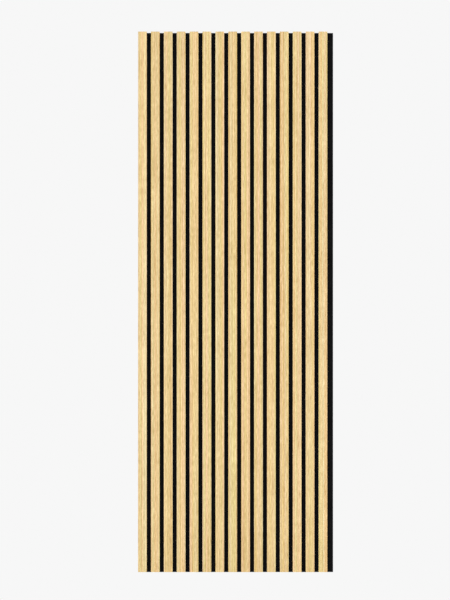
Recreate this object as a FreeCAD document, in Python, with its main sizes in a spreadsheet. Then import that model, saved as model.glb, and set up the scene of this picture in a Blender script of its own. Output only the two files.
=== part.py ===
import FreeCAD, Part
import os
from enum import IntEnum

import Sketcher

# Acoustic slat wall panel, in millimetres.
# A row of upright slats is glued and stapled to one sheet of black felt. Each slat is a bar of
# black fibreboard with a thin oak veneer on its front face.
# Frame: +X to the right seen from the room, +Z up, and the room on the -Y side.
# Origin: on the back of the felt, which lies on the wall, at mid width and mid height.

DRIVING_SIZES = [
    ("panel_height", 1677, "length of every slat"),
    ("slat_count", 15, "slats side by side"),
    ("slat_width", 27, "face width of one slat"),
    ("slat_gap", 13, "bare felt between two slats"),
    ("felt_tongue", 18, "bare felt beyond the last slat, on the right"),
    ("felt_setback", 4.5, "how far the felt stops short of the slats at the top"),
    ("felt_thickness", 9, "felt sheet"),
    ("core_thickness", 11.4, "fibreboard bar of a slat"),
    ("veneer_thickness", 0.6, "oak face of a slat"),
    ("veneer_arris", 0.4, "rounding of the veneer's two long edges"),
    ("staple_rows", 6, "staples along one slat"),
    ("staple_margin", 60, "from an end of the felt to the nearest staple"),
    ("crown_width", 11.2, "staple, outside of one leg to outside of the other"),
    ("crown_sink", 0.3, "depth of the staple's crown below the back of the felt"),
    ("bend_cut", 0.5, "cut across the outside of the bend between crown and leg"),
    ("wire_width", 1.2, "staple wire, along the slat"),
    ("wire_thickness", 0.6, "staple wire, across the bend"),
    ("leg_bite", 7, "depth of a staple leg in the fibreboard"),
    ("leg_point", 0.8, "length of the chisel point on a leg"),
]

# Expressions that several pieces share.
SLAT_PITCH = "(sizes.slat_width + sizes.slat_gap)"
SLAT_SPAN = f"((sizes.slat_count - 1) * {SLAT_PITCH})"
PANEL_WIDTH = f"({SLAT_SPAN} + sizes.slat_width + sizes.felt_tongue)"
PANEL_LEFT = f"(-{PANEL_WIDTH} / 2)"
PANEL_BOTTOM = "(-sizes.panel_height / 2)"
FELT_HEIGHT = "(sizes.panel_height - sizes.felt_setback)"
STAPLE_SPAN = f"({FELT_HEIGHT} - 2 * sizes.staple_margin)"
CROWN_LEFT = "((sizes.slat_width - sizes.crown_width) / 2)"
STAPLE_FOOT = "(sizes.staple_margin - sizes.wire_width / 2)"
CROWN_RECESS = "(sizes.crown_sink + sizes.wire_thickness)"
LEG_REACH = "(sizes.felt_thickness + sizes.leg_bite)"
LEG_PITCH = "(sizes.crown_width - sizes.wire_thickness)"


class LineEnd(IntEnum):
    """How a sketch names the two ends of a line."""

    START = 1
    END = 2


START, END = LineEnd
ORIGIN_POINT = (-1, START)


def make_sheet(doc):
    """The driving sizes, one row each: name, value and what it measures."""
    sheet = doc.addObject("Spreadsheet::Sheet", "sizes")
    for row, (alias, value, meaning) in enumerate(DRIVING_SIZES, start=1):
        sheet.set(f"A{row}", alias)
        sheet.set(f"B{row}", str(value))
        sheet.set(f"C{row}", meaning)
        sheet.setAlias(f"B{row}", alias)
    doc.recompute()
    return sheet


def make_body(doc, label, x, y, z):
    """A body whose own corner lies at the place that the three expressions give."""
    body = doc.addObject("PartDesign::Body", label)
    body.Label = label
    for axis, expression in zip("xyz", (x, y, z)):
        body.setExpression(f"Placement.Base.{axis}", expression)
    return body


def origin_feature(body, role):
    """One of the body's own base planes or axes."""
    return next(f for f in body.Origin.OriginFeatures if f.Role == role)


def make_sketch(body, name, plane):
    sketch = body.newObject("Sketcher::SketchObject", name)
    sketch.AttachmentSupport = (origin_feature(body, plane), [""])
    sketch.MapMode = "FlatFace"
    return sketch


def distance(sketch, axis, first, second, expression):
    """Holds second at a distance from first along the sketch's X or Y, from the sheet."""
    index = sketch.addConstraint(Sketcher.Constraint(f"Distance{axis}", *first, *second, 1.0))
    sketch.setExpression(f"Constraints[{index}]", expression)


def join_corners(sketch, lines):
    """Closes a loop of lines, each end on the next start."""
    for line, following in zip(lines, lines[1:] + lines[:1]):
        sketch.addConstraint(Sketcher.Constraint("Coincident", line, END, following, START))


def draw_rectangle(sketch, left, bottom, width, height):
    """A rectangle whose lower left corner and sides are expressions of the sheet."""
    corners = [FreeCAD.Vector(x, y) for x, y in ((1, 1), (2, 1), (2, 2), (1, 2))]
    sides = [
        sketch.addGeometry(Part.LineSegment(corner, following))
        for corner, following in zip(corners, corners[1:] + corners[:1])
    ]
    lower, right, upper, left_side = sides
    join_corners(sketch, sides)
    for side in (lower, upper):
        sketch.addConstraint(Sketcher.Constraint("Horizontal", side))
    for side in (right, left_side):
        sketch.addConstraint(Sketcher.Constraint("Vertical", side))
    distance(sketch, "X", ORIGIN_POINT, (lower, START), left)
    distance(sketch, "Y", ORIGIN_POINT, (lower, START), bottom)
    distance(sketch, "X", (lower, START), (lower, END), width)
    distance(sketch, "Y", (right, START), (right, END), height)


def make_board(body, width, height, thickness):
    """A flat board from the body's corner, with its thickness towards the room."""
    sketch = make_sketch(body, "outline", "XZ_Plane")
    draw_rectangle(sketch, "0", "0", width, height)
    pad = body.newObject("PartDesign::Pad", "board")
    pad.Profile = sketch
    pad.setExpression("Length", thickness)
    return pad


def cut_from_back(body, name, rectangles, depth):
    """A pocket of rectangles, cut from the body's back face towards the room."""
    sketch = make_sketch(body, f"{name}_outline", "XZ_Plane")
    for rectangle in rectangles:
        draw_rectangle(sketch, *rectangle)
    pocket = body.newObject("PartDesign::Pocket", name)
    pocket.Profile = sketch
    pocket.Reversed = True
    pocket.setExpression("Length", depth)
    return pocket


def repeat_up_the_panel(body, name, originals):
    """One copy of the features at each staple row."""
    pattern = body.newObject("PartDesign::LinearPattern", name)
    pattern.Originals = originals
    pattern.Direction = (origin_feature(body, "Z_Axis"), [""])
    pattern.setExpression("Length", STAPLE_SPAN)
    pattern.setExpression("Occurrences", "sizes.staple_rows")
    body.Tip = pattern
    return pattern


def repeat_across_the_panel(pattern, body):
    """Adds one column of copies at each slat to a pattern that runs up the panel."""
    pattern.Direction2 = (origin_feature(body, "X_Axis"), [""])
    pattern.setExpression("Length2", SLAT_SPAN)
    pattern.setExpression("Occurrences2", "sizes.slat_count")


def leg_holes():
    """The two leg holes of the first staple, as rectangles on a slat's own corner."""
    right_leg = f"{CROWN_LEFT} + {LEG_PITCH}"
    return [
        (left, STAPLE_FOOT, "sizes.wire_thickness", "sizes.wire_width")
        for left in (CROWN_LEFT, right_leg)
    ]


def make_felt(doc):
    """The felt sheet, with a shallow recess for each staple crown and two holes for its legs."""
    body = make_body(doc, "felt_backing", PANEL_LEFT, "0", PANEL_BOTTOM)
    make_board(body, PANEL_WIDTH, FELT_HEIGHT, "sizes.felt_thickness")
    crown = (CROWN_LEFT, STAPLE_FOOT, "sizes.crown_width", "sizes.wire_width")
    recess = cut_from_back(body, "crown_recess", [crown], CROWN_RECESS)
    holes = cut_from_back(body, "leg_holes", leg_holes(), "sizes.felt_thickness")
    pattern = repeat_up_the_panel(body, "staple_seats", [recess, holes])
    repeat_across_the_panel(pattern, body)
    return body


def slat_left(index):
    return f"{PANEL_LEFT} + {index} * {SLAT_PITCH}"


def make_core(doc, index):
    """The fibreboard bar of one slat, with blind holes where the staple legs bite."""
    label = f"slat_core_{index + 1:02d}"
    body = make_body(doc, label, slat_left(index), "-sizes.felt_thickness", PANEL_BOTTOM)
    make_board(body, "sizes.slat_width", "sizes.panel_height", "sizes.core_thickness")
    holes = cut_from_back(body, "leg_holes", leg_holes(), "sizes.leg_bite")
    repeat_up_the_panel(body, "staple_bites", [holes])
    return body


def long_front_edges(shape, front):
    """The names of a board's edges that run up its front face."""
    return [
        f"Edge{number}"
        for number, edge in enumerate(shape.Edges, start=1)
        if abs(edge.tangentAt(edge.FirstParameter).z) > 0.5
        and abs(edge.CenterOfMass.y - front) < 1e-6
    ]


def make_veneer(doc, index):
    """The oak face of one slat, with its two long edges eased."""
    label = f"slat_veneer_{index + 1:02d}"
    depth = "-sizes.felt_thickness - sizes.core_thickness"
    body = make_body(doc, label, slat_left(index), depth, PANEL_BOTTOM)
    board = make_board(body, "sizes.slat_width", "sizes.panel_height", "sizes.veneer_thickness")
    doc.recompute()
    fillet = body.newObject("PartDesign::Fillet", "arris")
    fillet.Base = (board, long_front_edges(board.Shape, board.Shape.BoundBox.YMin))
    fillet.setExpression("Radius", "min(sizes.veneer_arris; 0.9 * sizes.veneer_thickness)")
    return body


def draw_staple(sketch, sheet):
    """The staple seen along the slat: crown, two bends cut across their outside, two pointed legs."""
    width, wire = sheet.crown_width, sheet.wire_thickness
    bend, point = sheet.bend_cut, sheet.leg_point
    top, tip = -sheet.crown_sink, -(sheet.felt_thickness + sheet.leg_bite)
    corners = [
        FreeCAD.Vector(x, y)
        for x, y in (
            (0, tip),
            (0, top - bend),
            (bend, top),
            (width - bend, top),
            (width, top - bend),
            (width, tip),
            (width - wire, tip + point),
            (width - wire, top - wire),
            (wire, top - wire),
            (wire, tip + point),
        )
    ]
    lines = [
        sketch.addGeometry(Part.LineSegment(corner, following))
        for corner, following in zip(corners, corners[1:] + corners[:1])
    ]
    join_corners(sketch, lines)
    left_out, left_bend, crown_out, right_bend, right_out = lines[:5]
    right_tip, right_in, crown_in, left_in, left_tip = lines[5:]
    for upright in (left_out, right_out, right_in, left_in):
        sketch.addConstraint(Sketcher.Constraint("Vertical", upright))
    for level in (crown_out, crown_in):
        sketch.addConstraint(Sketcher.Constraint("Horizontal", level))

    distance(sketch, "X", ORIGIN_POINT, (left_out, START), "0")
    distance(sketch, "X", (left_out, START), (right_out, END), "sizes.crown_width")
    distance(sketch, "X", (left_out, START), (left_tip, START), "sizes.wire_thickness")
    distance(sketch, "X", (right_tip, END), (right_tip, START), "sizes.wire_thickness")
    distance(sketch, "X", (left_bend, START), (left_bend, END), "sizes.bend_cut")
    distance(sketch, "X", (right_bend, START), (right_bend, END), "sizes.bend_cut")
    distance(sketch, "Y", (left_bend, START), (left_bend, END), "sizes.bend_cut")
    distance(sketch, "Y", (right_bend, END), (right_bend, START), "sizes.bend_cut")
    distance(sketch, "Y", (crown_out, START), ORIGIN_POINT, "sizes.crown_sink")
    distance(sketch, "Y", (crown_in, END), (crown_out, START), "sizes.wire_thickness")
    for tip_line, outer, inner in ((left_tip, END, START), (right_tip, START, END)):
        distance(sketch, "Y", (tip_line, outer), (tip_line, inner), "sizes.leg_point")
        distance(sketch, "Y", (tip_line, outer), ORIGIN_POINT, LEG_REACH)


def make_staples(doc, sheet):
    """Every staple of the panel, one loose solid each, crown flush in the felt."""
    left, bottom = f"{PANEL_LEFT} + {CROWN_LEFT}", f"{PANEL_BOTTOM} + sizes.staple_margin"
    body = make_body(doc, "backing_staples", left, "0", bottom)
    body.AllowCompound = True
    sketch = make_sketch(body, "bent_wire", "XY_Plane")
    draw_staple(sketch, sheet)
    wire = body.newObject("PartDesign::Pad", "staple")
    wire.Profile = sketch
    wire.SideType = "Symmetric"
    wire.setExpression("Length", "sizes.wire_width")
    pattern = repeat_up_the_panel(body, "staple_field", [wire])
    repeat_across_the_panel(pattern, body)
    return body


def check_model(doc, bodies):
    """Stops if any object failed to build, or a piece isn't a sound solid."""
    failed = [o.Name for o in doc.Objects if {"Invalid", "Error"} & set(o.State)]
    if failed:
        raise RuntimeError(f"these objects failed to build: {failed}")
    for body in bodies:
        if body.Shape.isNull() or not body.Shape.isValid() or not body.Shape.Solids:
            raise RuntimeError(f"{body.Label} isn't a sound solid")


def main():
    doc = FreeCAD.newDocument("acoustic_slat_panel")
    sheet = make_sheet(doc)
    slats = range(int(sheet.slat_count))
    bodies = [make_felt(doc), make_staples(doc, sheet)]
    bodies += [make_core(doc, index) for index in slats]
    bodies += [make_veneer(doc, index) for index in slats]
    doc.recompute()
    check_model(doc, bodies)
    os.makedirs("parts", exist_ok=True)
    for body in bodies:
        body.Shape.exportStep(os.path.join("parts", f"{body.Label}.step"))


main()
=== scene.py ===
import math

import bpy
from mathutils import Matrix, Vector


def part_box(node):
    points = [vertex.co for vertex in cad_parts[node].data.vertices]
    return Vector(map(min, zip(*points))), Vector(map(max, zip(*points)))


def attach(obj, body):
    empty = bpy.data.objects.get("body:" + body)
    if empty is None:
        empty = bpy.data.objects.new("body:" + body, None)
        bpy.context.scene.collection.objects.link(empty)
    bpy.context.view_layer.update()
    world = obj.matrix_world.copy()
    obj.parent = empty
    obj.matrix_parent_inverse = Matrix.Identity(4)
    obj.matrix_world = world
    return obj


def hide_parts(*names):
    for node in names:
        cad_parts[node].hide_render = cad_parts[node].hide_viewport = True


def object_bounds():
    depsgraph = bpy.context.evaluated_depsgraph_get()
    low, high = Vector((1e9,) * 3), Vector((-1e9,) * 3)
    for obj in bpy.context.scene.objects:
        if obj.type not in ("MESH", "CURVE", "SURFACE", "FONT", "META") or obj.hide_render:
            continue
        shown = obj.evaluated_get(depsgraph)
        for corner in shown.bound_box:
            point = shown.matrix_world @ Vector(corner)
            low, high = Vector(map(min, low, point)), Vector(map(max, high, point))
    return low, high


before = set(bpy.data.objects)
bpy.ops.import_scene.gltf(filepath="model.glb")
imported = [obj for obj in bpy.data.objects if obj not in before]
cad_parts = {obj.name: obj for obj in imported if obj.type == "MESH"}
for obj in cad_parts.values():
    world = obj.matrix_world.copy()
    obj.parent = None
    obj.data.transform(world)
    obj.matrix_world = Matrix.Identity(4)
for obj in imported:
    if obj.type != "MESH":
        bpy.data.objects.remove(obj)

# Acoustic slat wall panel, in metres: oak-faced slats on a sheet of black felt.
# The room is on the -Y side, the wall on the +Y side, and the slats stand along Z.

MM = 0.001

# Places read from the construction.
CAD_LOW, CAD_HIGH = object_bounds()
FELT_LOW, FELT_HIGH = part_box("felt_backing")
STAPLES_LOW, STAPLES_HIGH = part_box("backing_staples")
FIRST_CORE_LOW, FIRST_CORE_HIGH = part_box("slat_core_01")
SECOND_CORE_LOW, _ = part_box("slat_core_02")
CORES = [name for name in sorted(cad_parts) if name.startswith("slat_core_")]
VENEERS = [name for name in sorted(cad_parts) if name.startswith("slat_veneer_")]
SLAT_PITCH = SECOND_CORE_LOW.x - FIRST_CORE_LOW.x
SLAT_WIDTH = FIRST_CORE_HIGH.x - FIRST_CORE_LOW.x
SLAT_GAP = SLAT_PITCH - SLAT_WIDTH

# The staples, bent from flat wire and driven through the felt in level rows.
STAPLE_ROWS = 6
CROWN_WIDTH = 11.2 * MM
WIRE_WIDTH = 1.2 * MM
WIRE_THICKNESS = 0.6 * MM
WIRE_EDGE_ROUND = 0.12 * MM
BEND_ROUND = 0.5 * MM
LEG_POINT = 0.8 * MM
STAPLE_ROW_PITCH = (STAPLES_HIGH.z - STAPLES_LOW.z - WIRE_WIDTH) / (STAPLE_ROWS - 1)
FIRST_STAPLE_X = STAPLES_LOW.x + CROWN_WIDTH / 2
FIRST_STAPLE_Z = STAPLES_LOW.z + WIRE_WIDTH / 2

# The felt sheet: its lumps, its cut edges, the dimple round a staple and the tongue past the last slat.
FELT_LUMP = 0.3 * MM
FELT_LUMP_SPAN = 14 * MM
FELT_EDGE_ROUND = 1.0 * MM
FELT_EDGE_LAYERS = 4
DIMPLE_DEPTH = 0.7 * MM
DIMPLE_REACH = 12.0 * MM
TONGUE_COLUMNS = 2

# Where the patch of felt round a staple is divided, out from the staple's middle.
PATCH_COLUMNS = [step * MM for step in (2.8, 5.6, 7.5, 10.0, 14.0)]
PATCH_ROWS = [step * MM for step in (0.6, 1.6, 3.0, 5.0, 8.0, 12.0, *range(20, 160, 10))]

# How near a point is taken to be at a place, and how near two points become one.
AT_PLACE = 0.1 * MM
MERGE_REACH = 0.02 * MM

# The photograph's framing, in its own pixels, and how far off the camera stands.
PHOTO_WIDTH_PX = 450
PHOTO_HEIGHT_PX = 600
PHOTO_SLAT_PITCH_PX = 12.894
PHOTO_PANEL_LEFT_PX = 138.07
PHOTO_PANEL_BOTTOM_PX = 572.1
METRES_PER_PX = SLAT_PITCH / PHOTO_SLAT_PITCH_PX
CAMERA_DISTANCE = 3.0

# The room: a floor that fades into the backdrop, even light from all round, and the lamps.
# A lamp has the direction that it shines from, its strength and its softness in degrees.
FLOOR_SIZE = 14.0
FLOOR_FADE_START = 0.8
FLOOR_FADE_END = 3.5
WORLD_LIGHT = 0.42
LAMPS = {
    "key": ((-0.3, -1.0, 0.8), 1.38, 30),
    "fill": ((0.25, -1.0, 0.4), 0.48, 40),
    "back": ((0.5, 1.0, 0.8), 1.8, 90),
}

# The leaf of oak that the slats are cut from. The draw says which strips of it they show.
LEAF_WIDTH = 9.0
LEAF_LENGTH = 40.0
LEAF_DRAW = 1253
RING_WIDTH = 2.6 * MM
RING_CROWDING = 3.0
GRAIN_WANDER = 3 * MM

# How far a mark in the oak reaches across and along the grain.
WANDER_REACH = (60 * MM, 350 * MM)
CROWDING_REACH = (11 * MM, 700 * MM)
PINKNESS_REACH = (7 * MM, 2500 * MM)
PALENESS_REACH = (6 * MM, 2000 * MM)
PORE_REACH = (0.22 * MM, 5 * MM)

# The oak's layers of light and dark: the reach of a mark, the detail in it and its weight.
OAK_LAYERS = {
    "bands": ((3.2 * MM, 3000 * MM), 1.0, 0.80),
    "runs": ((1.8 * MM, 100 * MM), 1.0, 0.78),
    "streaks": ((1.8 * MM, 19 * MM), 1.0, 0.80),
    "fibres": ((0.28 * MM, 30 * MM), 1.0, 0.77),
    "clouds": ((45 * MM, 150 * MM), 2.0, 0.22),
}
SLAT_WEIGHT = 0.02
EARLY_WOOD_WEIGHT = -0.20
PORE_WEIGHT = 0.80

# How far a mark in the fibreboard, the felt and the wire reaches along X, Y and Z, and how far aside a
# fibre of the felt curls.
FLECK_REACH = (0.7 * MM, 0.7 * MM, 1.1 * MM)
BOARD_CLOUD_REACH = (14 * MM, 14 * MM, 40 * MM)
PLANING_REACH = (0.5 * MM, 0.5 * MM, 60 * MM)
CURL_REACH = (8 * MM, 8 * MM, 8 * MM)
UPRIGHT_FIBRE_REACH = (0.22 * MM, 0.5 * MM, 4 * MM)
LEVEL_FIBRE_REACH = (4 * MM, 0.5 * MM, 0.22 * MM)
FELT_CLOUD_REACH = (9 * MM, 9 * MM, 9 * MM)
FELT_MOTTLE_REACH = (45 * MM, 45 * MM, 60 * MM)
LINT_REACH = (0.9 * MM, 0.9 * MM, 2.4 * MM)
DRAWING_REACH = (4 * MM, 0.15 * MM, 0.15 * MM)
DULL_PATCH_REACH = (2 * MM, 2 * MM, 2 * MM)
FIBRE_CURL = 5 * MM

# The depth of the relief in the oak and in the felt.
OAK_RELIEF = 0.07 * MM
FELT_RELIEF = 0.3 * MM

# Colours, in linear light. The tone is the middle of the oak's light and dark, and the tint says how far
# red, green and blue follow them.
WHITE = (1.0, 1.0, 1.0, 1.0)
BACKDROP = (0.93, 0.93, 0.93, 1.0)
FLOOR = (0.78, 0.78, 0.78, 1.0)
OAK_PINK = (0.898, 0.553, 0.283, 1.0)
OAK_STRAW = (0.742, 0.651, 0.283, 1.0)
OAK_HONEY = (0.820, 0.602, 0.187, 1.0)
OAK_CREAM = (0.820, 0.628, 0.397, 1.0)
OAK_PORE = (0.45, 0.28, 0.11, 1.0)
OAK_TONE = 1.01
OAK_TINT = (0.82, 1.06, 1.54)
NO_TINT = (1.0, 1.0, 1.0)
FIBREBOARD = (0.011, 0.0105, 0.010, 1.0)
FIBREBOARD_FLECK = (0.046, 0.042, 0.038, 1.0)
FELT_DARK = (0.0018, 0.0018, 0.0019, 1.0)
FELT_LIGHT = (0.0165, 0.0165, 0.0175, 1.0)
FELT_LINT = (0.035, 0.035, 0.037, 1.0)
ZINC = (0.60, 0.61, 0.62, 1.0)
ZINC_DULL = (0.40, 0.41, 0.42, 1.0)


def add_node(tree, kind, inputs=None, **settings):
    """A shader node, with each input set to a number or joined to another node's output."""
    node = tree.nodes.new(kind)
    for name, value in settings.items():
        setattr(node, name, value)
    for name, value in (inputs or {}).items():
        if isinstance(value, bpy.types.NodeSocket):
            tree.links.new(value, node.inputs[name])
        else:
            node.inputs[name].default_value = value
    return node


def calculate(tree, operation, first, second=0.0, third=0.0):
    """The result of one sum on numbers or outputs."""
    inputs = {0: first, 1: second, 2: third}
    return add_node(tree, "ShaderNodeMath", inputs, operation=operation).outputs[0]


def add_share(tree, base, value, share):
    """The base, with that share of a value added."""
    return calculate(tree, "MULTIPLY_ADD", value, share, base)


def add_about_middle(tree, base, value, share):
    """The base, raised by that share of a value where it is over 0.5, and lowered where it is under."""
    return add_share(tree, base, calculate(tree, "SUBTRACT", value, 0.5), share)


def between(tree, value, low, high):
    """A value from 0 to 1, moved to lie between low and high."""
    return add_share(tree, low, value, high - low)


def spread(tree, value, low, high, at_low=0.0, at_high=1.0):
    """Goes evenly from at_low, where the value is low or less, to at_high, where it is high or more."""
    inputs = {"Value": value, 1: low, 2: high, 3: at_low, 4: at_high}
    return add_node(tree, "ShaderNodeMapRange", inputs).outputs[0]


def blend_colours(tree, share, first, second, kind="MIX"):
    """Two colours blended, with that share of the second."""
    inputs = {0: share, 6: first, 7: second}
    return add_node(tree, "ShaderNodeMix", inputs, data_type="RGBA", blend_type=kind).outputs[2]


def shade(tree, colour, tone, tint=NO_TINT):
    """The colour, lighter or darker by a number, which red, green and blue follow as the tint says."""
    shares = {
        channel: add_share(tree, 1.0 - follows, tone, follows)
        for channel, follows in enumerate(tint)
    }
    factor = add_node(tree, "ShaderNodeCombineColor", shares).outputs[0]
    return blend_colours(tree, 1.0, colour, factor, "MULTIPLY")


def place_axes(tree):
    """The place on the panel, as three outputs in metres."""
    place = add_node(tree, "ShaderNodeTexCoord").outputs["Object"]
    return add_node(tree, "ShaderNodeSeparateXYZ", {0: place}).outputs


def marks(tree, place, reach, detail=2.0, roughness=0.5, distortion=0.0):
    """Random marks, from 0 to 1, that reach so many metres along each axis of a place."""
    scaled = [calculate(tree, "DIVIDE", axis, length) for axis, length in zip(place, reach)]
    inputs = {
        "Vector": add_node(tree, "ShaderNodeCombineXYZ", dict(enumerate(scaled))).outputs[0],
        "Scale": 1.0,
        "Detail": detail,
        "Roughness": roughness,
        "Distortion": distortion,
    }
    return add_node(tree, "ShaderNodeTexNoise", inputs).outputs[0]


def grain_marks(tree, across, along, reach, detail=1.0, level=0.0):
    """Random marks in the wood, with their reach across and along the grain, at a level of the leaf."""
    reach_across, reach_along = reach
    return marks(tree, (across, level, along), (reach_across, 1.0, reach_along), detail)


def random_shares(tree, number):
    """What is drawn at random for a whole number: a value from 0 to 1, and a colour of three more."""
    return add_node(tree, "ShaderNodeTexWhiteNoise", {"W": number}, noise_dimensions="1D").outputs


def new_material(name):
    """An empty material with a principled surface, and that surface's node."""
    material = bpy.data.materials.new(name)
    material.use_nodes = True
    tree = material.node_tree
    tree.nodes.clear()
    surface = add_node(tree, "ShaderNodeBsdfPrincipled")
    add_node(tree, "ShaderNodeOutputMaterial", {"Surface": surface.outputs[0]})
    return material, tree, surface


def raise_surface(tree, surface, height, depth, strength):
    """Relief on a surface, from a height between 0 and 1 and its depth in metres."""
    inputs = {"Height": height, "Distance": depth, "Strength": strength}
    bump = add_node(tree, "ShaderNodeBump", inputs)
    tree.links.new(bump.outputs[0], surface.inputs["Normal"])


def slat_strip(tree, x, z):
    """Where on the leaf of veneer a place lies, across and along the grain, and a random share of its
    slat. Every slat shows another strip of the leaf."""
    from_first = calculate(tree, "SUBTRACT", x, FIRST_CORE_LOW.x - SLAT_GAP / 2)
    slat = calculate(tree, "FLOOR", calculate(tree, "DIVIDE", from_first, SLAT_PITCH))
    strip = random_shares(tree, calculate(tree, "ADD", slat, LEAF_DRAW))
    shares = add_node(tree, "ShaderNodeSeparateColor", {0: strip["Color"]}).outputs
    across = add_share(tree, x, shares[0], LEAF_WIDTH)
    along = add_share(tree, z, shares[1], LEAF_LENGTH)
    return across, along, shares[2]


def early_wood(tree, across, along):
    """The porous early wood of each year, from 1 where the year begins to 0 in the late wood."""
    crowding = grain_marks(tree, across, along, CROWDING_REACH)
    year = add_share(tree, calculate(tree, "DIVIDE", across, RING_WIDTH), crowding, RING_CROWDING)
    age = calculate(tree, "FRACT", year)
    growth = random_shares(tree, calculate(tree, "FLOOR", year))["Value"]
    early = spread(tree, age, low=0.05, high=0.55, at_low=1.0, at_high=0.0)
    return calculate(tree, "MULTIPLY", early, between(tree, growth, low=0.2, high=1.0))


def oak_veneer():
    """Light oak with straight grain: year rings, open pores, long streaks and pink or straw bands."""
    material, tree, surface = new_material("oak_veneer")
    x, _, z = place_axes(tree)
    across, along, slat_share = slat_strip(tree, x, z)

    # The grain wanders a little on its way up the slat.
    wander = grain_marks(tree, across, along, WANDER_REACH)
    across = add_share(tree, across, wander, GRAIN_WANDER)

    # Pink or straw, and honey or cream, from two levels of the leaf, so that neither follows the other.
    pinkness = spread(tree, grain_marks(tree, across, along, PINKNESS_REACH), low=0.35, high=0.65)
    paleness = grain_marks(tree, across, along, PALENESS_REACH, level=3.0)
    paleness = spread(tree, paleness, low=0.32, high=0.68)
    warm = blend_colours(tree, pinkness, OAK_STRAW, OAK_PINK)
    pale = blend_colours(tree, paleness, OAK_HONEY, OAK_CREAM)
    colour = blend_colours(tree, share=0.5, first=warm, second=pale)

    # Light and dark: the layers, the slat's own tone and the dark early wood.
    tone = OAK_TONE
    layers = {}
    for name, (reach, detail, weight) in OAK_LAYERS.items():
        layers[name] = grain_marks(tree, across, along, reach, detail)
        tone = add_about_middle(tree, tone, layers[name], weight)
    tone = add_about_middle(tree, tone, slat_share, SLAT_WEIGHT)
    early = early_wood(tree, across, along)
    tone = add_share(tree, tone, early, EARLY_WOOD_WEIGHT)
    colour = shade(tree, colour, tone, OAK_TINT)

    # Pores, most of them in the early wood.
    pores = spread(tree, grain_marks(tree, across, along, PORE_REACH, detail=0.0), low=0.57, high=0.65)
    open_pores = calculate(tree, "MULTIPLY", pores, between(tree, early, low=0.25, high=1.0))
    colour = blend_colours(tree, calculate(tree, "MULTIPLY", open_pores, PORE_WEIGHT), colour, OAK_PORE)
    tree.links.new(colour, surface.inputs["Base Color"])

    rough = between(tree, layers["streaks"], low=0.44, high=0.60)
    rough = add_share(tree, rough, open_pores, share=0.2)
    tree.links.new(rough, surface.inputs["Roughness"])
    surface.inputs["Specular IOR Level"].default_value = 0.35
    height = add_share(tree, calculate(tree, "MULTIPLY", open_pores, -1.0), layers["fibres"], share=0.3)
    raise_surface(tree, surface, height, OAK_RELIEF, strength=0.6)
    return material


def black_fibreboard():
    """Fibreboard dyed black all through: fine flecks, cloudy places and the marks of planing."""
    material, tree, surface = new_material("black_fibreboard")
    place = place_axes(tree)
    flecks = marks(tree, place, FLECK_REACH, detail=3.0, roughness=0.65)
    clouds = marks(tree, place, BOARD_CLOUD_REACH)
    planing = marks(tree, place, PLANING_REACH)
    colour = blend_colours(tree, spread(tree, flecks, low=0.52, high=0.75), FIBREBOARD, FIBREBOARD_FLECK)
    colour = shade(tree, colour, between(tree, clouds, low=0.7, high=1.3))
    tree.links.new(colour, surface.inputs["Base Color"])
    tree.links.new(between(tree, planing, low=0.62, high=0.82), surface.inputs["Roughness"])
    surface.inputs["Specular IOR Level"].default_value = 0.2
    return material


def matted_fibres(tree, x, y, z):
    """Fibres that lie upright, level and on both slants, and curl on their way."""
    curled_x = add_share(tree, x, marks(tree, (x, y, z), CURL_REACH), FIBRE_CURL)
    curled_z = add_share(tree, z, marks(tree, (z, y, x), CURL_REACH), FIBRE_CURL)
    slant_up = calculate(tree, "ADD", curled_x, curled_z)
    slant_down = calculate(tree, "SUBTRACT", curled_x, curled_z)
    fibres = 0.0
    for across, along in ((curled_x, curled_z), (slant_up, slant_down)):
        for reach in (UPRIGHT_FIBRE_REACH, LEVEL_FIBRE_REACH):
            lying = marks(tree, (across, y, along), reach, detail=1.0, distortion=0.6)
            fibres = calculate(tree, "MAXIMUM", fibres, lying)
    return fibres


def black_felt():
    """Needled polyester felt: fibres matted in all directions, thin and thick places, a little lint."""
    material, tree, surface = new_material("black_felt")
    place = place_axes(tree)
    fibres = matted_fibres(tree, *place)
    clouds = marks(tree, place, FELT_CLOUD_REACH, detail=4.0, roughness=0.6)
    mottle = marks(tree, place, FELT_MOTTLE_REACH, detail=3.0)
    lint = marks(tree, place, LINT_REACH, detail=1.0, distortion=0.8)
    colour = blend_colours(tree, spread(tree, fibres, low=0.58, high=0.82), FELT_DARK, FELT_LIGHT)
    tone = between(tree, clouds, low=-0.5, high=0.9)
    tone = add_share(tree, tone, mottle, share=1.6)
    colour = shade(tree, colour, tone)
    colour = blend_colours(tree, spread(tree, lint, low=0.76, high=0.84), colour, FELT_LINT)
    tree.links.new(colour, surface.inputs["Base Color"])
    surface.inputs["Roughness"].default_value = 0.95
    surface.inputs["Specular IOR Level"].default_value = 0.08
    surface.inputs["Sheen Weight"].default_value = 0.45
    surface.inputs["Sheen Roughness"].default_value = 0.35
    height = add_share(tree, fibres, clouds, share=1.5)
    raise_surface(tree, surface, height, FELT_RELIEF, strength=1.0)
    return material


def galvanised_wire():
    """Zinc-coated wire, drawn along its length and dull in patches."""
    material, tree, surface = new_material("galvanised_wire")
    place = place_axes(tree)
    drawing = marks(tree, place, DRAWING_REACH)
    dull = spread(tree, marks(tree, place, DULL_PATCH_REACH), low=0.4, high=0.65)
    tree.links.new(blend_colours(tree, dull, ZINC, ZINC_DULL), surface.inputs["Base Color"])
    tree.links.new(between(tree, drawing, low=0.28, high=0.48), surface.inputs["Roughness"])
    surface.inputs["Metallic"].default_value = 1.0
    return material


def deselect_everything():
    """Leaves nothing selected, so that what follows acts on the new piece alone."""
    bpy.ops.object.select_all(action="DESELECT")


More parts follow.
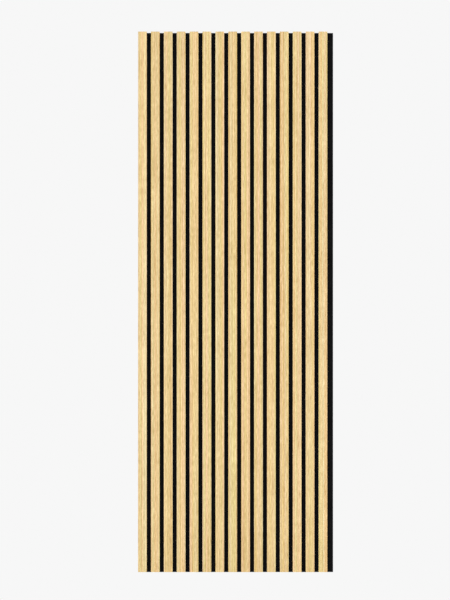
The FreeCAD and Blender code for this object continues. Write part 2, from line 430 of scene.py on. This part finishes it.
def cut_along(place, direction, **cleared):
    """Cuts the piece in edit mode along a plane, and may clear away one side."""
    bpy.ops.mesh.select_all(action="SELECT")
    bpy.ops.mesh.bisect(plane_co=place, plane_no=direction, **cleared)


def select_points(piece, is_wanted):
    """Selects the points of the piece in edit mode whose places are wanted, and no others."""
    bpy.ops.mesh.select_all(action="DESELECT")
    bpy.ops.object.mode_set(mode="OBJECT")
    for point in piece.data.vertices:
        point.select = is_wanted(point.co)
    bpy.ops.object.mode_set(mode="EDIT")


def draw_out(x=0.0, y=0.0):
    """Draws out what is selected, so far along X and Y."""
    bpy.ops.mesh.extrude_region_move(TRANSFORM_OT_translate={"value": (x, y, 0.0)})


def apply_modifiers(piece):
    """Applies all modifiers of the active piece, in order."""
    for modifier in list(piece.modifiers):
        bpy.ops.object.modifier_apply(modifier=modifier.name)


def finish_piece(piece, material, slot, *nodes):
    """Gives a piece its finish, and its place in the panel instead of the nodes."""
    piece.data.materials.clear()
    piece.data.materials.append(material)
    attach(piece, "root")
    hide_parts(*nodes)


def dress_nodes(names, material):
    """Gives pieces of the construction their finish, and leaves their shape."""
    for name in names:
        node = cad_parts[name]
        node.data.materials.clear()
        node.data.materials.append(material)


def repeat_for_every_staple(piece):
    """Copies the piece from the first staple to every slat and every row."""
    across = piece.modifiers.new("across", "ARRAY")
    across.count = len(CORES)
    across.constant_offset_displace = (SLAT_PITCH, 0, 0)
    upwards = piece.modifiers.new("upwards", "ARRAY")
    upwards.count = STAPLE_ROWS
    upwards.constant_offset_displace = (0, 0, STAPLE_ROW_PITCH)
    for copies in (across, upwards):
        copies.use_relative_offset = False
        copies.use_constant_offset = True
        copies.use_merge_vertices = True
        copies.merge_threshold = MERGE_REACH
    apply_modifiers(piece)


def make_felt_patch(back):
    """The back of the felt round the first staple, drawn in where the wire pulls it down."""
    deselect_everything()
    bpy.ops.mesh.primitive_plane_add(
        size=1.0,
        location=(FIRST_STAPLE_X, back, FIRST_STAPLE_Z),
        rotation=(math.radians(-90), 0, 0),
    )
    patch = bpy.context.object
    patch.scale = (SLAT_PITCH, STAPLE_ROW_PITCH, 1.0)
    bpy.ops.object.transform_apply(location=True, rotation=True, scale=True)

    bpy.ops.object.mode_set(mode="EDIT")
    cut_along((FIRST_STAPLE_X, 0, 0), (1, 0, 0))
    for column in PATCH_COLUMNS:
        for side in (-1, 1):
            cut_along((FIRST_STAPLE_X + side * column, 0, 0), (1, 0, 0))
    for row in PATCH_ROWS:
        for side in (-1, 1):
            cut_along((0, 0, FIRST_STAPLE_Z + side * row), (0, 0, 1))

    def under_crown(place):
        in_width = abs(place.x - FIRST_STAPLE_X) < CROWN_WIDTH / 2 + AT_PLACE
        return in_width and abs(place.z - FIRST_STAPLE_Z) < WIRE_WIDTH / 2 + AT_PLACE

    select_points(patch, under_crown)
    bpy.ops.transform.translate(
        value=(0, -DIMPLE_DEPTH, 0),
        use_proportional_edit=True,
        proportional_edit_falloff="SHARP",
        proportional_size=DIMPLE_REACH,
    )
    bpy.ops.object.mode_set(mode="OBJECT")
    return patch


def trim_felt(low, high):
    """Cuts the patches off at the sheet's left, lower and upper edges."""
    cut_along(low, (1, 0, 0), clear_inner=True)
    cut_along(low, (0, 0, 1), clear_inner=True)
    cut_along(high, (0, 0, 1), clear_outer=True)


def draw_out_tongue(felt, right):
    """Carries the sheet on from the last patch to its right edge."""
    last_column = FIRST_STAPLE_X + (len(CORES) - 0.5) * SLAT_PITCH
    select_points(felt, lambda place: place.x > last_column - AT_PLACE)
    for _ in range(TONGUE_COLUMNS):
        draw_out(x=(right - last_column) / TONGUE_COLUMNS)


def thicken_felt(felt, front, back):
    """Gives the sheet its thickness, with a flat front and cut edges in layers."""
    bpy.ops.mesh.select_all(action="SELECT")
    draw_out(y=front - back)
    middle = (front + back) / 2
    select_points(felt, lambda place: place.y < middle)
    bpy.ops.transform.resize(value=(1, 0, 1), center_override=(0, front, 0))
    for layer in range(1, FELT_EDGE_LAYERS):
        cut_along((0, front + (back - front) * layer / FELT_EDGE_LAYERS, 0), (0, 1, 0))
    bpy.ops.mesh.select_all(action="SELECT")
    bpy.ops.mesh.normals_make_consistent(inside=False)


def soften_felt(felt):
    """Rounds the cut edges and raises the lumps."""
    edges = felt.modifiers.new("cut_edges", "BEVEL")
    edges.width = FELT_EDGE_ROUND
    edges.segments = 2
    edges.limit_method = "ANGLE"
    lumps = felt.modifiers.new("lumps", "DISPLACE")
    lumps.texture = bpy.data.textures.new("felt_lumps", "CLOUDS")
    lumps.texture.noise_scale = FELT_LUMP_SPAN
    lumps.texture.noise_depth = 2
    lumps.strength = FELT_LUMP
    apply_modifiers(felt)
    bpy.ops.object.shade_smooth()


def make_felt(material):
    """The felt sheet: lumpy faces, soft cut edges and a dimple round every staple. Its lumps stay within
    its size, apart from the front, which lies half a lump into the slats, so that no gap opens there."""
    low = FELT_LOW + Vector((FELT_LUMP, -FELT_LUMP, FELT_LUMP)) / 2
    high = FELT_HIGH - Vector((FELT_LUMP, FELT_LUMP, FELT_LUMP)) / 2
    felt = make_felt_patch(high.y)
    felt.name = "felt_sheet"
    repeat_for_every_staple(felt)
    bpy.ops.object.mode_set(mode="EDIT")
    trim_felt(low, high)
    draw_out_tongue(felt, high.x)
    thicken_felt(felt, low.y, high.y)
    bpy.ops.object.mode_set(mode="OBJECT")
    soften_felt(felt)
    finish_piece(felt, material, "black_felt", "felt_backing")


def bend_staple():
    """One staple of flat wire on the first slat: its crown, two pointed legs and round bends."""
    crown_back = STAPLES_HIGH.y
    crown_middle = crown_back - WIRE_THICKNESS / 2
    leg_tip = STAPLES_LOW.y
    leg_middle = CROWN_WIDTH / 2 - WIRE_THICKNESS / 2
    leg_inside = CROWN_WIDTH / 2 - WIRE_THICKNESS
    deselect_everything()
    bpy.ops.mesh.primitive_cube_add(
        size=1.0,
        location=(FIRST_STAPLE_X, crown_middle, FIRST_STAPLE_Z),
        scale=(CROWN_WIDTH, WIRE_THICKNESS, WIRE_WIDTH),
    )
    staple = bpy.context.object
    bpy.ops.object.transform_apply(location=True, rotation=True, scale=True)

    # The legs are drawn out of both ends of the crown's front.
    bpy.ops.object.mode_set(mode="EDIT")
    for side in (-1, 1):
        cut_along((FIRST_STAPLE_X + side * leg_inside, 0, 0), (1, 0, 0))
    bpy.ops.mesh.select_mode(type="FACE")
    bpy.ops.mesh.select_all(action="DESELECT")
    bpy.ops.object.mode_set(mode="OBJECT")
    for face in staple.data.polygons:
        faces_front = face.normal.y < -0.5
        face.select = faces_front and abs(face.center.x - FIRST_STAPLE_X) > leg_inside
    bpy.ops.object.mode_set(mode="EDIT")
    draw_out(y=leg_tip - (crown_back - WIRE_THICKNESS))
    bpy.ops.mesh.select_mode(type="VERT")

    def inside_of_tip(place):
        return abs(place.x - FIRST_STAPLE_X) < leg_middle and place.y < leg_tip + WIRE_THICKNESS / 2

    def outside_of_bend(place):
        return abs(place.x - FIRST_STAPLE_X) > leg_middle and place.y > crown_middle

    select_points(staple, inside_of_tip)
    bpy.ops.transform.translate(value=(0, LEG_POINT, 0))
    select_points(staple, outside_of_bend)
    bpy.ops.mesh.bevel(offset=BEND_ROUND, segments=4, affect="EDGES")
    bpy.ops.object.mode_set(mode="OBJECT")
    return staple


def make_staples(material):
    """The staples: one bent from wire with round edges, set out over every slat and every row."""
    staple = bend_staple()
    staple.name = "staple_wires"
    edges = staple.modifiers.new("wire_edges", "BEVEL")
    edges.width = WIRE_EDGE_ROUND
    edges.segments = 2
    edges.limit_method = "ANGLE"
    edges.angle_limit = math.radians(50)
    repeat_for_every_staple(staple)
    bpy.ops.object.shade_smooth_by_angle(angle=math.radians(40))
    finish_piece(staple, material, "staple_steel", "backing_staples")


def seen_or_mirrored(tree):
    """1 where the eye, a reflection or a view through something meets a surface, and 0 for its light."""
    path = add_node(tree, "ShaderNodeLightPath").outputs
    seen = calculate(tree, "MAXIMUM", path["Is Camera Ray"], path["Is Glossy Ray"])
    return calculate(tree, "MAXIMUM", seen, path["Is Transmission Ray"])


def mix_surfaces(tree, share, first, second):
    """The first surface or light, with that share of the second in it."""
    inputs = {0: share, 1: first.outputs[0], 2: second.outputs[0]}
    return add_node(tree, "ShaderNodeMixShader", inputs).outputs[0]


def make_floor():
    """A plain pale floor under the panel, which runs out into the backdrop."""
    deselect_everything()
    bpy.ops.mesh.primitive_plane_add(size=FLOOR_SIZE, location=(0, 0, CAD_LOW.z))
    floor = bpy.context.object
    floor.name = "studio_floor"
    material, tree, surface = new_material("pale_floor")
    surface.inputs["Base Color"].default_value = FLOOR
    surface.inputs["Roughness"].default_value = 0.9
    surface.inputs["Specular IOR Level"].default_value = 0.0
    x, y, _ = place_axes(tree)
    squares = add_share(tree, calculate(tree, "MULTIPLY", y, y), x, x)
    fade = spread(tree, calculate(tree, "SQRT", squares), FLOOR_FADE_START, FLOOR_FADE_END)
    share = calculate(tree, "MULTIPLY", fade, seen_or_mirrored(tree))
    backdrop = add_node(tree, "ShaderNodeEmission", {"Color": BACKDROP, "Strength": 1.0})
    output = tree.get_output_node("CYCLES")
    tree.links.new(mix_surfaces(tree, share, surface, backdrop), output.inputs["Surface"])
    floor.data.materials.append(material)


def light_the_room():
    """Even light from all round, and a pale backdrop wherever the eye or a reflection meets it."""
    world = bpy.data.worlds.new("studio")
    bpy.context.scene.world = world
    world.use_nodes = True
    tree = world.node_tree
    tree.nodes.clear()
    light = add_node(tree, "ShaderNodeBackground", {"Color": WHITE, "Strength": WORLD_LIGHT})
    backdrop = add_node(tree, "ShaderNodeBackground", {"Color": BACKDROP, "Strength": 1.0})
    both = mix_surfaces(tree, seen_or_mirrored(tree), light, backdrop)
    add_node(tree, "ShaderNodeOutputWorld", {"Surface": both})


def add_lamp(name, comes_from, strength, softness):
    """A soft lamp far away, shining from that direction on the panel."""
    lamp = bpy.data.lights.new(name, "SUN")
    lamp.energy = strength
    lamp.angle = math.radians(softness)
    holder = bpy.data.objects.new(name, lamp)
    holder.rotation_mode = "QUATERNION"
    holder.rotation_quaternion = Vector(comes_from).to_track_quat("Z", "Y")
    bpy.context.scene.collection.objects.link(holder)


def add_camera():
    """Straight on and without perspective, framed as the photograph is."""
    camera = bpy.data.cameras.new("straight_on")
    camera.type = "ORTHO"
    camera.ortho_scale = PHOTO_HEIGHT_PX * METRES_PER_PX
    holder = bpy.data.objects.new("straight_on", camera)
    from_left = (PHOTO_WIDTH_PX / 2 - PHOTO_PANEL_LEFT_PX) * METRES_PER_PX
    from_bottom = (PHOTO_PANEL_BOTTOM_PX - PHOTO_HEIGHT_PX / 2) * METRES_PER_PX
    holder.location = (CAD_LOW.x + from_left, -CAMERA_DISTANCE, CAD_LOW.z + from_bottom)
    holder.rotation_euler = (math.radians(90), 0, 0)
    bpy.context.scene.collection.objects.link(holder)
    bpy.context.scene.camera = holder


dress_nodes(VENEERS, oak_veneer())
dress_nodes(CORES, black_fibreboard())
make_felt(black_felt())
make_staples(galvanised_wire())

make_floor()
light_the_room()
for name, lamp in LAMPS.items():
    add_lamp(name, *lamp)
add_camera()
bpy.context.scene.view_settings.view_transform = "Standard"
